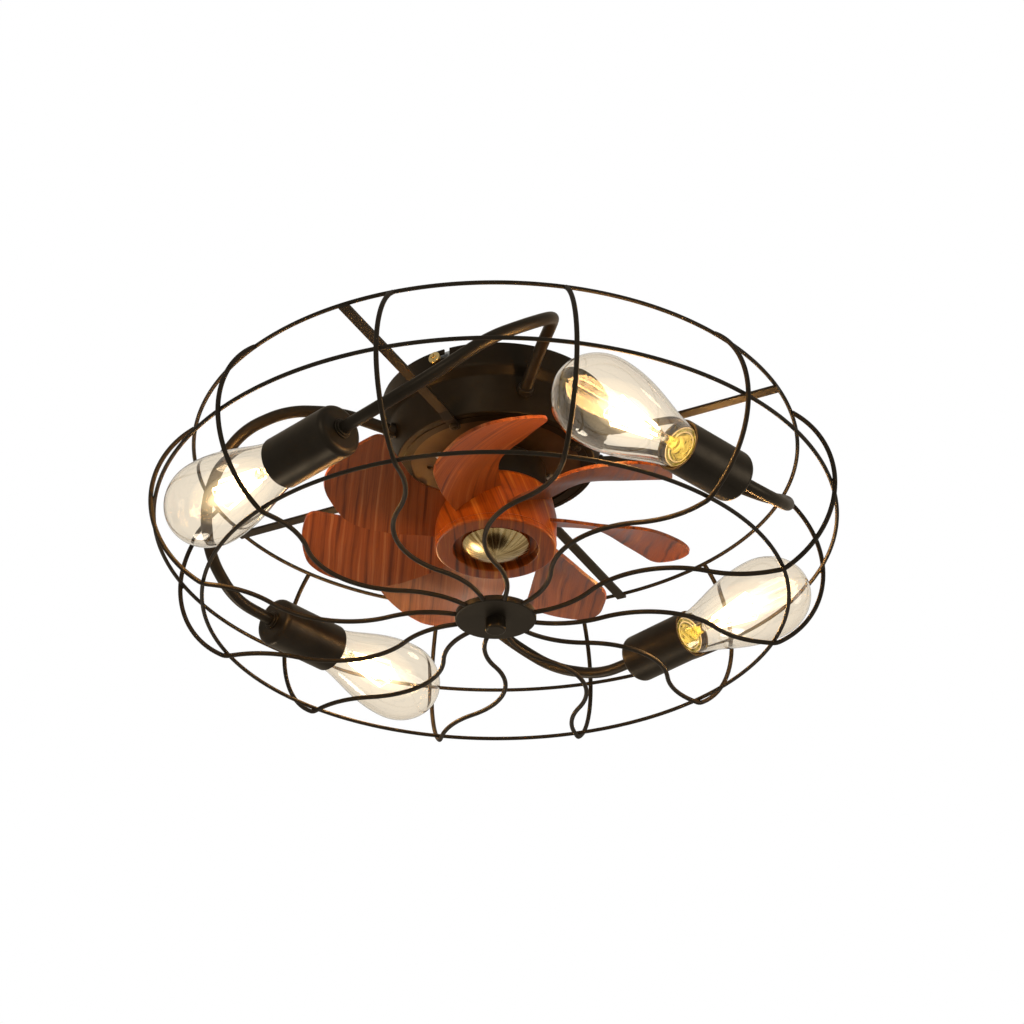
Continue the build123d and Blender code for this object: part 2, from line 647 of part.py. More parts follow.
flip = Rotation(180, 0, 0)
housing_screw = screw(3.2, 2.0, 1.55, 7).moved(Location((HOUSING_SCREW_R, 0, CANOPY_BOTTOM + SHEET)))
save("housing_screws", *around(housing_screw, 4, 30))
motor_bolt = (flip * screw(3.6, 2.4, 1.65, 5.0)).moved(Location((MOTOR_BOLT_R, 0, HOUSING_BOTTOM + SHEET)))
save("motor_bolts", *around(motor_bolt, 4, 20))
spoke_screw = flip * screw(3.4, 2.0, 1.95, 5.4)
spoke_screw = spoke_screw.moved(Location((SPOKE_SCREW_R, 0, HOUSING_BOTTOM - SPOKE_THICK)))
save("spoke_screws", *around(spoke_screw, SPOKE_COUNT, SPOKE_FIRST_AZ))

receiver = fillet(Box(76, 34, 19).edges().filter_by(Axis.Z), 3)
save("remote_receiver", receiver.moved(Location((0, 30, HANGER_TOP + 9.5))))
terminal = Box(34, 17, 13)
for pocket in (-11, 0, 11):
    terminal -= Cylinder(3.2, 6).moved(Location((pocket, 0, 6)))
save("terminal_block", terminal.moved(Location((0, -31, HANGER_TOP + 6.5))))

save("stator_core", stator_core())
save("stator_windings", *stator_windings())
save("rotor_can", rotor_can())
save("rotor_cover", rotor_cover())
save("rotor_magnets", *rotor_magnets())
save("upper_bearing", bearing(CAN_TOP))
save("lower_bearing", bearing(CAN_BOTTOM + BEARING_HEIGHT))
save("shaft_nut", hex_nut(18.0, 4.5, SHAFT_R, CAN_BOTTOM - 0.5))

save("fan_hub", fan_hub())
save("hub_lip", hub_lip())
save("hub_dome", hub_dome())
hub_screw = (flip * screw(3.2, 2.0, 1.55, 5.2)).moved(Location((28.0, 0, HUB_TOP - HUB_WALL)))
save("hub_screws", *around(hub_screw, 4, 45))
for number, shape in enumerate(around(blade(), BLADE_COUNT, BLADE_FIRST_AZ), 1):
    save(f"blade_{number}", shape)

arm_tube = tube(Wire(arm_path().edges()), ARM_R, ARM_BORE_R)
lamp_pieces = {
    "arm": arm_tube,
    "socket_cup": on_lamp_axis(socket_cup()),
    "bulb_base": on_lamp_axis(bulb_base()),
    "bulb_glass": on_lamp_axis(bulb_glass()),
}
for name, shape in lamp_pieces.items():
    for number, copy in enumerate(at_lamps(shape), 1):
        save(f"{name}_{number}", copy)
save("arm_collars", *at_lamps(arm_collar()))
save("socket_cores", *at_lamps(on_lamp_axis(socket_core())))
save("socket_nuts", *at_lamps(on_lamp_axis(socket_nut())))
save("screw_shells", *at_lamps(on_lamp_axis(screw_shell())))
save("lamp_wires", *at_lamps(tube(Wire(arm_path().edges()), WIRE_R)))
save("bulb_stems", *at_lamps(on_lamp_axis(bulb_stem())))
rods = [rod for one in filaments() for rod in at_lamps(on_lamp_axis(one))]
save("bulb_filaments", *rods)

save("cage_top_ring", ring(TOP_RING_R, TOP_RING_Z))
save("cage_middle_ring", ring(MID_RING_R, MID_RING_Z))
save("cage_base_ring", ring(BASE_RING_R, BASE_RING_Z))
save("cage_ribs", *around(rib(), RIB_COUNT, RIB_FIRST_AZ))
save("cage_disc", centre_disc())
save("cage_knob", knob())
save("cage_spokes", *around(spoke(), SPOKE_COUNT, SPOKE_FIRST_AZ))
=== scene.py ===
"""Looks of the caged ceiling fan with light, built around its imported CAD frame."""

import json
import math
import random

import bmesh
import bpy
from mathutils import Matrix, Vector


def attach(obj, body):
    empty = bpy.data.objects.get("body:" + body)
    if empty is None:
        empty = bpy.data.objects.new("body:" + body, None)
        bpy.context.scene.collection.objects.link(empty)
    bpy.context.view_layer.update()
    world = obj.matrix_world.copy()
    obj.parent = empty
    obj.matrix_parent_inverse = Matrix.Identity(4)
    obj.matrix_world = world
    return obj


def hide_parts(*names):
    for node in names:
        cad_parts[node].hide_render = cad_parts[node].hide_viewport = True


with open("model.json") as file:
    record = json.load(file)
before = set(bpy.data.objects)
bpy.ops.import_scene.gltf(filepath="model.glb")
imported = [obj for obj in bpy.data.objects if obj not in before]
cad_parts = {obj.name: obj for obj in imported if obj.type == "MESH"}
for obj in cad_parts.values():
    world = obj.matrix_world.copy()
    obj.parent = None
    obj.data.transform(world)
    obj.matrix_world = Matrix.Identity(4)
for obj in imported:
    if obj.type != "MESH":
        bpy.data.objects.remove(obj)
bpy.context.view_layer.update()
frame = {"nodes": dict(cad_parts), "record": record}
nodes = frame["nodes"]
MM = 0.001

# ------------------------------------------------------------ dimensions in millimetres, as in the CAD

LAMP_TURNS = (0.5, 89.5, 178.0, 272.0)
LAMP_BACK = (-107.0, -170.5, -131.7)
LAMP_HEADING = 135.0
BASE_R, BASE_END = 13.0, 54.0
NECK_R, NECK_END = 17.2, 60.0
BULB_R, BULB_END = 32.0, 175.5
BULB_WIDEST = BULB_END - 37.0
GLASS_WALL = 0.9
ROUND = 0.5523
STEM_R, STEM_END = 3.0, 88.0
FILAMENT_R, FILAMENT_LENGTH, FILAMENTS = 1.0, 38.0, 6
FILAMENT_LEAN, FILAMENT_RING_R = 9.0, 4.6
SUPPORT_WIRE_R = 0.25
SEAT_Z, SEAT_R = 56.2, 15.6
RIM_Z, RIM_WIRE_R, RIM_RADII = 58.3, 0.55, (11.2, 14.6)

BLADE_COUNT = 7
BLADE_FIRST_AZ = 270.0
BLADE_THICK = 2.4
BLADE_TIP_R = 148.5
LOW_EDGE = [(45.0, -41.5, -113.7), (80.0, -29.6, -119.3), (115.0, -22.0, -120.3), (148.0, -8.0, -117.0)]
HIGH_EDGE = [(45.0, 4.7, -97.1), (77.0, 1.7, -96.5), (109.0, 10.5, -96.7), (140.0, 16.0, -97.5)]
TIP_MID_AZ = 4.0
TIP_CORNER_R, TIP_POINT_R, CORNER_PULL = 16.0, 4.0, 0.60
BLADE_ROWS, BLADE_COLUMNS = 64, 26

HUB_TOP, HUB_BOTTOM = -81.0, -127.0
HUB_TOP_R, HUB_R, HUB_BOTTOM_R = 42.0, 46.0, 45.2
RECESS_R, RECESS_FLOOR = 32.0, -119.5
HUB_WALL, HUB_BORE_R, SHAFT_R = 3.0, 20.0, 6.0
HUB_SHOULDER, BEAD_Z = HUB_TOP - 20.0, HUB_BOTTOM + 4.6
DOME_R, DOME_RIM, DOME_DEPTH, DOME_WALL = 25.7, -123.2, 9.0, 1.2

RING_WIRE_R, RIB_WIRE_R = 1.5, 1.75
RINGS = (
    ("cage_top_ring", 228.9, -50.0),
    ("cage_middle_ring", 254.0, -114.0),
    ("cage_base_ring", 214.6, -178.25),
)
RIB_COUNT, RIB_FIRST_AZ = 12, 12.0
RIB_ARC_CENTRE, RIB_ARC_R = (177.2, -111.2), 80.1
RIB_ARC_TOP, RIB_ARC_END = 48.8, -59.3
RIB_KNEE_R, BASE_SLOPE = 12.0, 1.07
WAVE_OFFSET, WAVE_PEAK_R, WAVE_HALF = 32.0, 120.0, 87.0
DISC_R, WELD = 30.0, 0.15

CAMERA_AT = (0.0, -1.5599, -1.0439)
CAMERA_LENS = 85.26
CAMERA_PITCH, CAMERA_PAN, CAMERA_TILT, CAMERA_ROLL = 30.80, 0.384, 0.542, -0.139

# ------------------------------------------------------------ studio
# Millimetres for the floor, the glow and distances along a lamp; metres and watts for the lights.

FLOOR_Z, FLOOR_RADII = -2400.0, (3000.0, 60000.0)
AIM = (0.0, 0.0, -0.1)
AREA_LIGHTS = (
    ("key_light", (-0.6, -1.7, 0.1), 3.0, (1.0, 0.97, 0.92), 0.9),
    ("side_light", (1.7, -0.3, -0.5), 5.0, (1.0, 0.97, 0.92), 0.9),
    ("low_light", (-0.92, 1.46, -1.5), 9.0, (1.0, 0.93, 0.82), 0.7),
)
WARM = (1.0, 0.62, 0.27)
LAMP_LIGHT_Z, LAMP_LIGHT_R = STEM_END + 24.0, 0.010
STUDIO_FILL = 0.42
LAMP_WATTS = 0.9
FLOOR_LIFT = 0.50
GLOW_COLOUR = (1.0, 0.79, 0.48)
GLOW_CENTRE = 116.0
GLOW_LAYERS = ((7.0, 26.0, 66.0), (13.0, 32.0, 20.0), (21.0, 41.0, 6.0))


# ------------------------------------------------------------ node helpers


class Material:
    """A node material being built, with short calls for the nodes it uses."""

    def __init__(self, name):
        self.mat = bpy.data.materials.new(name)
        self.mat.use_nodes = True
        self.tree = self.mat.node_tree
        self.tree.nodes.clear()
        self.out = self.tree.nodes.new("ShaderNodeOutputMaterial")

    def add(self, kind, **inputs):
        node = self.tree.nodes.new(kind)
        for key, value in inputs.items():
            self.put(node, key.replace("_", " "), value)
        return node

    def put(self, node, key, value):
        socket = node.inputs[key]
        if isinstance(value, bpy.types.NodeSocket):
            self.tree.links.new(value, socket)
        else:
            socket.default_value = value

    def principled(self, **inputs):
        node = self.add("ShaderNodeBsdfPrincipled", **inputs)
        self.tree.links.new(node.outputs[0], self.out.inputs["Surface"])
        return node

    def coords(self, uv=None):
        if uv:
            node = self.tree.nodes.new("ShaderNodeUVMap")
            node.uv_map = uv
            return node.outputs[0]
        return self.tree.nodes.new("ShaderNodeTexCoord").outputs["Object"]

    def stretched(self, vector, scale):
        return self.add("ShaderNodeMapping", Vector=vector, Scale=scale).outputs[0]

    def noise(self, vector, scale, detail=3.0, roughness=0.5, distortion=0.0):
        node = self.add(
            "ShaderNodeTexNoise",
            Vector=vector, Scale=scale, Detail=detail, Roughness=roughness, Distortion=distortion,
        )
        return node.outputs["Fac"]

    def ramp(self, fac, stops):
        node = self.add("ShaderNodeValToRGB", Fac=fac)
        while len(node.color_ramp.elements) < len(stops):
            node.color_ramp.elements.new(0.5)
        for element, (place, colour) in zip(node.color_ramp.elements, stops):
            element.position = place
            element.color = (*colour, 1.0)
        return node.outputs[0]

    def levels(self, fac, low, high, start=0.0, end=1.0):
        node = self.add("ShaderNodeMapRange", Value=fac)
        for key, value in (("From Min", start), ("From Max", end), ("To Min", low), ("To Max", high)):
            node.inputs[key].default_value = value
        return node.outputs[0]

    def multiplied(self, fac, first, second):
        node = self.tree.nodes.new("ShaderNodeMix")
        node.data_type = "RGBA"
        node.blend_type = "MULTIPLY"
        node.inputs[0].default_value = fac
        self.tree.links.new(first, node.inputs[6])
        self.tree.links.new(second, node.inputs[7])
        return node.outputs[2]

    def maths(self, operation, first, second=0.0):
        node = self.tree.nodes.new("ShaderNodeMath")
        node.operation = operation
        self.put(node, 0, first)
        self.put(node, 1, second)
        return node.outputs[0]

    def bump(self, height, strength, distance):
        return self.add("ShaderNodeBump", Height=height, Strength=strength, Distance=distance).outputs[0]


def painted_metal(name, dark, light, metallic, rough, specular=0.30, grain=0.015):
    """Satin lacquer over metal: mottled colour, uneven gloss and a fine spray texture."""
    m = Material(name)
    at = m.coords()
    cloud = m.noise(at, 34.0, 4.0, 0.6)
    spray = m.noise(at, 420.0, 2.0, 0.5)
    colour = m.ramp(cloud, [(0.3, dark), (0.7, light)])
    gloss = m.levels(m.noise(at, 90.0, 3.0, 0.55), rough[0], rough[1], 0.3, 0.7)
    m.principled(
        Base_Color=colour, Metallic=metallic, Roughness=gloss, Specular_IOR_Level=specular,
        Specular_Tint=(1.0, 0.80, 0.56, 1.0), Normal=m.bump(spray, grain, 0.0002),
    )
    return m.mat


def bare_metal(name, dark, light, rough):
    """Plated or turned metal with fine lines and a slightly uneven gloss."""
    m = Material(name)
    at = m.coords()
    lines = m.noise(m.stretched(at, (1.0, 1.0, 14.0)), 420.0, 3.0, 0.6)
    colour = m.ramp(m.noise(at, 70.0, 3.0, 0.6), [(0.3, dark), (0.7, light)])
    m.principled(
        Base_Color=colour, Metallic=1.0, Roughness=m.levels(lines, rough[0], rough[1], 0.3, 0.7),
        Normal=m.bump(lines, 0.05, 0.0001),
    )
    return m.mat


def crinkled_gold(name):
    """Greenish gold foil behind glass, pressed into small facets."""
    m = Material(name)
    at = m.coords()
    facets = m.noise(at, 300.0, 3.0, 0.7)
    colour = m.ramp(
        facets, [(0.30, (0.07, 0.08, 0.015)), (0.50, (0.28, 0.30, 0.07)), (0.68, (0.56, 0.62, 0.28))],
    )
    m.principled(
        Base_Color=colour, Metallic=0.8, Roughness=m.levels(facets, 0.22, 0.42, 0.3, 0.7),
        Normal=m.bump(facets, 0.6, 0.0012),
    )
    return m.mat


def moulded_plastic(name, dark, light, rough):
    """Moulded plastic with a fine spark texture."""
    m = Material(name)
    at = m.coords()
    colour = m.ramp(m.noise(at, 60.0, 3.0, 0.6), [(0.3, dark), (0.7, light)])
    spark = m.noise(at, 2200.0, 2.0, 0.5)
    m.principled(
        Base_Color=colour, Roughness=m.levels(spark, rough[0], rough[1], 0.3, 0.7), Specular_IOR_Level=0.45,
        Normal=m.bump(spark, 0.12, 0.0001),
    )
    return m.mat


def lacquered_wood(name, dark, middle, light):
    """Satin wood: wavy dark bands, fine fibres and short pores, all along V of the grain map, in metres."""
    m = Material(name)
    at = m.coords("grain")
    sway = m.noise(m.stretched(at, (14.0, 9.0, 1.0)), 1.0, 3.0, 0.55)
    push = m.add("ShaderNodeCombineXYZ", X=m.levels(sway, -0.006, 0.006))
    moved = m.tree.nodes.new("ShaderNodeVectorMath")
    m.tree.links.new(at, moved.inputs[0])
    m.tree.links.new(push.outputs[0], moved.inputs[1])
    grain = moved.outputs[0]
    bands = m.noise(m.stretched(grain, (210.0, 7.0, 1.0)), 1.0, 4.0, 0.62, 0.35)
    waves = m.add(
        "ShaderNodeTexWave", Vector=m.stretched(grain, (1.0, 0.10, 1.0)), Scale=38.0, Distortion=9.0,
        Detail=3.0, Detail_Scale=1.1, Detail_Roughness=0.6,
    )
    bands = m.maths("ADD", m.maths("MULTIPLY", bands, 0.86), m.maths("MULTIPLY", waves.outputs["Fac"], 0.14))
    fibres = m.noise(m.stretched(grain, (1100.0, 22.0, 1.0)), 1.0, 3.0, 0.6)
    pores = m.noise(m.stretched(grain, (2600.0, 130.0, 1.0)), 1.0, 2.0, 0.5)
    base = m.ramp(bands, [(0.30, dark), (0.46, middle), (0.56, middle), (0.70, light)])
    patches = m.noise(m.stretched(grain, (30.0, 5.0, 1.0)), 1.0, 2.0)
    tone = m.ramp(patches, [(0.3, (0.86,) * 3), (0.7, (1.12,) * 3)])
    base = m.multiplied(1.0, base, tone)
    lines = m.ramp(fibres, [(0.34, (0.74,) * 3), (0.56, (1.06,) * 3)])
    base = m.multiplied(0.75, base, lines)
    spots = m.ramp(pores, [(0.30, (0.55,) * 3), (0.40, (1.0,) * 3)])
    base = m.multiplied(0.5, base, spots)
    m.principled(
        Base_Color=base, Roughness=m.levels(bands, 0.30, 0.42, 0.3, 0.7), Specular_IOR_Level=0.25,
        Specular_Tint=(1.0, 0.80, 0.55, 1.0), Coat_Weight=0.08, Coat_Roughness=0.14,
        Normal=m.bump(m.maths("ADD", fibres, pores), 0.10, 0.00012),
    )
    return m.mat


def spun_dome(name):
    """Polished pale gold, spun on a lathe, with painted reflection: dark and bright streaks run out from its
    middle in its colour, standing in for the streaky highlights of spun metal, and broad darker zones are
    painted shade.
    """
    m = Material(name)
    at = m.coords()
    split = m.add("ShaderNodeSeparateXYZ", Vector=at)
    angle = m.maths("ARCTAN2", split.outputs["Y"], split.outputs["X"])
    around = m.add("ShaderNodeCombineXYZ", X=m.maths("COSINE", angle), Y=m.maths("SINE", angle))
    # Painted reflection: dark and bright streaks out from the middle, in the colour; they also vary the gloss
    # and bump.
    painted_reflection_streaks = m.noise(around.outputs[0], 9.0, 4.0, 0.7)
    # Painted shade: broad darker zones round the dome, multiplied into its colour below.
    wide = m.noise(around.outputs[0], 2.2, 2.0, 0.5)
    colour = m.ramp(
        painted_reflection_streaks, [(0.34, (0.30, 0.18, 0.06)), (0.5, (0.84, 0.61, 0.27)), (0.68, (1.0, 0.83, 0.47))],
    )
    shade = m.ramp(wide, [(0.38, (0.58, 0.48, 0.34)), (0.58, (1.0, 0.96, 0.90))])
    m.principled(
        Base_Color=m.multiplied(0.8, colour, shade), Metallic=1.0,
        Roughness=m.levels(painted_reflection_streaks, 0.16, 0.30, 0.3, 0.7), Normal=m.bump(painted_reflection_streaks, 0.08, 0.0003),
    )
    return m.mat


def clear_glass(name, colour, wavy):
    """Glass whose shadow rays go straight through, so that lamps behind it light the room."""
    m = Material(name)
    at = m.coords()
    glass = m.add("ShaderNodeBsdfGlass", Roughness=0.0, IOR=1.46)
    glass.inputs["Color"].default_value = (*colour, 1.0)
    clear = m.add("ShaderNodeBsdfTransparent")
    clear.inputs["Color"].default_value = (*colour, 1.0)
    m.put(glass, "Normal", m.bump(m.noise(at, 55.0, 2.0, 0.5), wavy, 0.001))
    path = m.tree.nodes.new("ShaderNodeLightPath")
    mix = m.tree.nodes.new("ShaderNodeMixShader")
    m.tree.links.new(path.outputs["Is Shadow Ray"], mix.inputs[0])
    m.tree.links.new(glass.outputs[0], mix.inputs[1])
    m.tree.links.new(clear.outputs[0], mix.inputs[2])
    m.tree.links.new(mix.outputs[0], m.out.inputs["Surface"])
    return m.mat


def glowing(name, colour, strength):
    """A filament coating at working heat, a little uneven along its length."""
    m = Material(name)
    spots = m.noise(m.coords(), 700.0, 2.0, 0.5)
    light = m.add("ShaderNodeEmission", Strength=strength)
    m.put(light, "Color", m.ramp(spots, [(0.3, tuple(0.86 * c for c in colour)), (0.7, colour)]))
    m.tree.links.new(light.outputs[0], m.out.inputs["Surface"])
    return m.mat


# Each finish: how it is made, its name and its settings.
FINISHES = (
    (painted_metal, "dark_bronze", (0.017, 0.0130, 0.0090), (0.030, 0.0230, 0.0150), 0.5, (0.32, 0.42)),
    # Painted shade: a darker copy of the dark bronze, for the drum and canopy.
    (painted_metal, "drum_bronze", (0.010, 0.0068, 0.0038), (0.018, 0.0125, 0.0070), 0.5, (0.34, 0.44), 0.2),
    # Painted warm light: a lighter, warmer copy of the dark bronze, for the housing's bottom plate.
    (painted_metal, "plate_bronze", (0.075, 0.042, 0.019), (0.125, 0.072, 0.033), 0.7, (0.30, 0.40)),
    (
        painted_metal, "wire_bronze",
        (0.016, 0.0120, 0.0080), (0.028, 0.0210, 0.0135), 0.3, (0.50, 0.60), 0.25, 0.0,
    ),
    (crinkled_gold, "seat_gold"),
    (bare_metal, "rim_pale", (0.72, 0.68, 0.44), (0.94, 0.90, 0.68), (0.25, 0.40)),
    (bare_metal, "zinc_steel", (0.42, 0.42, 0.40), (0.60, 0.60, 0.57), (0.30, 0.45)),
    (bare_metal, "screw_brass", (0.60, 0.40, 0.13), (0.82, 0.60, 0.25), (0.20, 0.34)),
    (moulded_plastic, "receiver_plastic", (0.50, 0.50, 0.48), (0.60, 0.60, 0.58), (0.42, 0.56)),
    (moulded_plastic, "terminal_plastic", (0.62, 0.60, 0.54), (0.72, 0.70, 0.63), (0.40, 0.52)),
    (bare_metal, "core_iron", (0.16, 0.16, 0.17), (0.28, 0.28, 0.29), (0.45, 0.60)),
    (bare_metal, "copper_enamel", (0.45, 0.16, 0.06), (0.66, 0.27, 0.11), (0.25, 0.38)),
    (painted_metal, "motor_black", (0.012, 0.010, 0.008), (0.022, 0.018, 0.014), 0.5, (0.28, 0.40)),
    (moulded_plastic, "magnet_grey", (0.07, 0.07, 0.075), (0.12, 0.12, 0.125), (0.50, 0.62)),
    (bare_metal, "bearing_steel", (0.50, 0.50, 0.50), (0.68, 0.68, 0.68), (0.18, 0.30)),
    (bare_metal, "shell_brass", (0.55, 0.38, 0.14), (0.76, 0.56, 0.24), (0.22, 0.36)),
    (bare_metal, "lamp_brass", (0.30, 0.25, 0.07), (0.52, 0.45, 0.16), (0.24, 0.36)),
    (moulded_plastic, "socket_plastic", (0.020, 0.019, 0.018), (0.035, 0.033, 0.030), (0.45, 0.58)),
    (moulded_plastic, "wire_sleeve", (0.030, 0.030, 0.032), (0.050, 0.050, 0.053), (0.50, 0.62)),
    (lacquered_wood, "hub_wood", (0.070, 0.014, 0.002), (0.300, 0.056, 0.005), (0.500, 0.150, 0.022)),
    (lacquered_wood, "blade_wood", (0.066, 0.015, 0.005), (0.245, 0.056, 0.012), (0.365, 0.115, 0.036)),
    (spun_dome, "dome_plate"),
    # Painted glow: the warm tint of the bulb glass stands in for the lamp's warm haze inside it.
    (clear_glass, "bulb_glass", (0.970, 0.938, 0.885), 0.02),
    (clear_glass, "stem_glass", (0.97, 0.94, 0.88), 0.10),
    (glowing, "filament_glow", (1.0, 0.66, 0.30), 26.0),
)
MATERIALS = {name: make(name, *settings) for make, name, *settings in FINISHES}


# ------------------------------------------------------------ mesh helpers


def piece(name, mesh, body, slot, replaces=(), matrix=None, finish=None):
    """A finished mesh as an object, attached to its body, with the finish's material (the slot's when no
    finish is given); the CAD nodes it stands for are hidden.
    """
    obj = bpy.data.objects.new(name, mesh)
    bpy.context.scene.collection.objects.link(obj)
    if matrix is not None:
        mesh.transform(matrix)
    mesh.materials.clear()
    mesh.materials.append(MATERIALS[finish or slot])
    mesh.update()
    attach(obj, body)
    if replaces:
        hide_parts(*replaces)
    return obj


def new_mesh(name, points, faces):
    """A smooth-shaded mesh from points in millimetres."""
    mesh = bpy.data.meshes.new(name)
    mesh.from_pydata([Vector(p) * MM for p in points], [], faces)
    mesh.validate()
    mesh.shade_smooth()
    return mesh


def rounded(points, radii, steps=5):
    """A profile of (r, z) points with some corners rounded: radii is {index: radius}."""
    path = []
    for index, point in enumerate(points):
        here = Vector(point)
        if index not in radii:
            path.append(here)
            continue
        before, after = Vector(points[index - 1]) - here, Vector(points[index + 1]) - here
        half = before.angle(after) / 2
        reach = min(radii[index] / math.tan(half), before.length * 0.48, after.length * 0.48)
        start, end = here + before.normalized() * reach, here + after.normalized() * reach
        for step in range(steps + 1):
            t = step / steps
            path.append(start * (1 - t) ** 2 + here * (2 * t * (1 - t)) + end * t**2)
    return path


def lathe(name, profile, segments=96, closed=False, wobble=None):
    """Turns a profile of (r, z) about Z. A point on the axis is one vertex. wobble(angle, r, z) adds to r."""
    points, faces, rings = [], [], []
    for r, z in profile:
        if r < 1e-6:
            rings.append([len(points)] * segments)
            points.append((0.0, 0.0, z))
            continue
        ring = []
        for step in range(segments):
            angle = math.tau * step / segments
            out = r + (wobble(angle, r, z) if wobble else 0.0)
            ring.append(len(points))
            points.append((out * math.cos(angle), out * math.sin(angle), z))
        rings.append(ring)
    pairs = list(zip(rings, rings[1:] + rings[:1])) if closed else list(zip(rings, rings[1:]))
    for low, high in pairs:
        for step in range(segments):
            after = (step + 1) % segments
            face = []
            for corner in (low[step], low[after], high[after], high[step]):
                if corner not in face:
                    face.append(corner)
            if len(face) > 2:
                faces.append(face)
    mesh = new_mesh(name, points, faces)
    out = bmesh.new()
    out.from_mesh(mesh)
    bmesh.ops.recalc_face_normals(out, faces=out.faces)
    out.to_mesh(mesh)
    out.free()
    return mesh


def sharpen(mesh, degrees=38.0):
    """Smooth shading that stays crisp at real corners."""
    mesh.shade_smooth()
    limit = math.radians(degrees)
    work = bmesh.new()
    work.from_mesh(mesh)
    for edge in work.edges:
        if len(edge.link_faces) == 2 and edge.calc_face_angle() > limit:
            edge.smooth = False
    work.to_mesh(mesh)
    work.free()
    return mesh


def joined(name, meshes):
    """Several meshes as one."""
    work = bmesh.new()
    for mesh in meshes:
        work.from_mesh(mesh)
        bpy.data.meshes.remove(mesh)
    mesh = bpy.data.meshes.new(name)
    work.to_mesh(mesh)
    work.free()
    return mesh


def rod(name, path, radius, sides):
    """A round rod along 3-D points, with domed ends."""
    points, faces, rings = [], [], []
    spots = [Vector(p) for p in path]
    for index, spot in enumerate(spots):
        ahead = spots[min(index + 1, len(spots) - 1)] - spots[max(index - 1, 0)]
        z = ahead.normalized()
        x = z.orthogonal().normalized() if index == 0 else (x - z * x.dot(z)).normalized()
        y = z.cross(x)
        ring = []
        for step in range(sides):
            angle = math.tau * step / sides
            ring.append(len(points))
            points.append(spot + (x * math.cos(angle) + y * math.sin(angle)) * radius)
        rings.append(ring)
    for low, high in zip(rings, rings[1:]):
        for step in range(sides):
            after = (step + 1) % sides
            faces.append((low[step], low[after], high[after], high[step]))
    for ring, end, sign in ((rings[0], spots[0], -1), (rings[-1], spots[-1], 1)):
        tip = len(points)
        way = (spots[1] - spots[0]).normalized() if sign < 0 else (spots[-1] - spots[-2]).normalized()
        points.append(end + way * sign * radius * 0.6)
        for step in range(sides):
            after = (step + 1) % sides
            faces.append((ring[after], ring[step], tip) if sign < 0 else (ring[step], ring[after], tip))
    return new_mesh(name, points, faces)


def bezier(p0, p1, p2, p3, steps):
    """Points on a cubic curve, the first left out."""
    made = []
    for step in range(1, steps + 1):
        t = step / steps
        weights = ((1 - t) ** 3, 3 * t * (1 - t) ** 2, 3 * t * t * (1 - t), t**3)
        made.append(tuple(sum(w * p[i] for w, p in zip(weights, (p0, p1, p2, p3))) for i in (0, 1)))
    return made


def grain_map(mesh, place):
    """Writes the grain map: place(x, y, z) in metres gives (across, along) in metres."""
    layer = mesh.uv_layers.new(name="grain")
    for loop in mesh.loops:
        layer.data[loop.index].uv = place(*mesh.vertices[loop.vertex_index].co)


# ------------------------------------------------------------ CAD nodes that stay: their finish

finish_of = {row["node"]: row["material_slot"] for row in frame["record"]["subparts"]}
# Painted shade on the drum and canopy, and painted warm light on the bottom plate: darker and lighter copies
# of the dark bronze.
finish_of.update(motor_housing="drum_bronze", canopy="drum_bronze", housing_plate="plate_bronze")
for name, obj in nodes.items():
    obj.data.materials.clear()
    obj.data.materials.append(MATERIALS[finish_of.get(name, "dark_bronze")])


# ------------------------------------------------------------ fan: hub, dome, blades


def polar(radius, azimuth):
    angle = math.radians(azimuth)
    return Vector((radius * math.cos(angle), radius * math.sin(angle), 0.0))


def build_hub():
    """The barrel with its rolled lower lip, a fine bead above the roll, and the recess."""
    inside = RECESS_FLOOR + HUB_WALL
    outer = [
        (HUB_BORE_R, HUB_TOP), (HUB_TOP_R, HUB_TOP), (HUB_R, HUB_SHOULDER),
        (HUB_BOTTOM_R + 0.1, BEAD_Z + 0.4), (HUB_BOTTOM_R + 0.45, BEAD_Z), (HUB_BOTTOM_R, BEAD_Z - 0.4),
        (HUB_BOTTOM_R - 0.1, HUB_BOTTOM), (RECESS_R, HUB_BOTTOM), (RECESS_R, RECESS_FLOOR),
        (SHAFT_R, RECESS_FLOOR), (SHAFT_R, inside), (HUB_R - HUB_WALL - 1.0, inside),
        (HUB_R - HUB_WALL, HUB_SHOULDER), (HUB_TOP_R - HUB_WALL - 1.0, HUB_TOP - HUB_WALL),
        (HUB_BORE_R, HUB_TOP - HUB_WALL),
    ]
    profile = rounded(outer, {1: 6.0, 2: 14.0, 6: 3.9, 7: 0.9, 8: 0.8}, 7)
    mesh = sharpen(lathe("hub", profile, 144, closed=True))
    grain_map(mesh, lambda x, y, z: (x + 0.35 * z, y + 0.5 * z))
    return piece("hub", mesh, "rotor", "hub_wood", ["fan_hub", "hub_lip"])


def build_dome():
    """The plated cap on its short skirt, with a rounded rim."""
    ball = (DOME_R**2 + DOME_DEPTH**2) / (2 * DOME_DEPTH)
    centre = DOME_RIM - DOME_DEPTH + ball
    reach = math.asin(DOME_R / ball)
    arc = [reach * step / 28 for step in range(29)]
    inner = ball - DOME_WALL
    profile = [(ball * math.sin(a), centre - ball * math.cos(a)) for a in arc[:-1]]
    profile += [(DOME_R - 0.15, DOME_RIM - 0.05), (DOME_R, DOME_RIM + 0.35), (DOME_R, RECESS_FLOOR)]
    profile += [(DOME_R - DOME_WALL, RECESS_FLOOR), (DOME_R - DOME_WALL, DOME_RIM + 0.6)]
    profile += [(inner * math.sin(a) * 0.98, centre - inner * math.cos(a)) for a in reversed(arc)]
    return piece("dome", sharpen(lathe("dome", profile, 128), 50), "rotor", "dome_plate", ["hub_dome"])


